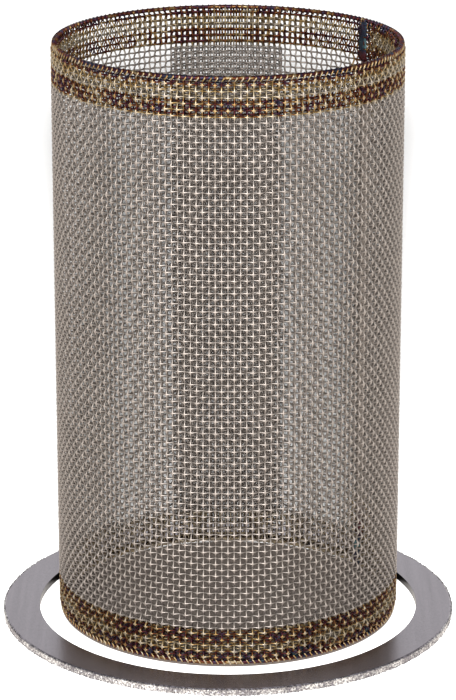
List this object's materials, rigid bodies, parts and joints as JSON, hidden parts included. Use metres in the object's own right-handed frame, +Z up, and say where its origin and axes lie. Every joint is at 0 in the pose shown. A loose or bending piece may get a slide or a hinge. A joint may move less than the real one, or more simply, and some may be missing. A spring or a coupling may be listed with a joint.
{
  "type": "strainer screen",
  "caption": "Cylindrical woven wire strainer screen with folded, seam-welded ends and a lapped side seam, with its flat ring gasket lying round the foot.",
  "frame": {"origin": "centre of the gasket's underside, on the surface that the screen and gasket stand on", "axes": "+Z up along the screen, towards its rim; -Y towards the viewer; +X to the viewer's right"},
  "size_m": [0.0968, 0.0968, 0.124],
  "materials": {
    "wire_cloth": "bright drawn stainless wire, heat tinted at the welds",
    "graphite_sheet": "satin flexible graphite sheet"
  },
  "bodies": {
    "root": {"screen_cloth": "wire_cloth", "backing_strip": "wire_cloth", "gasket": "graphite_sheet"}
  },
  "joints": []
}
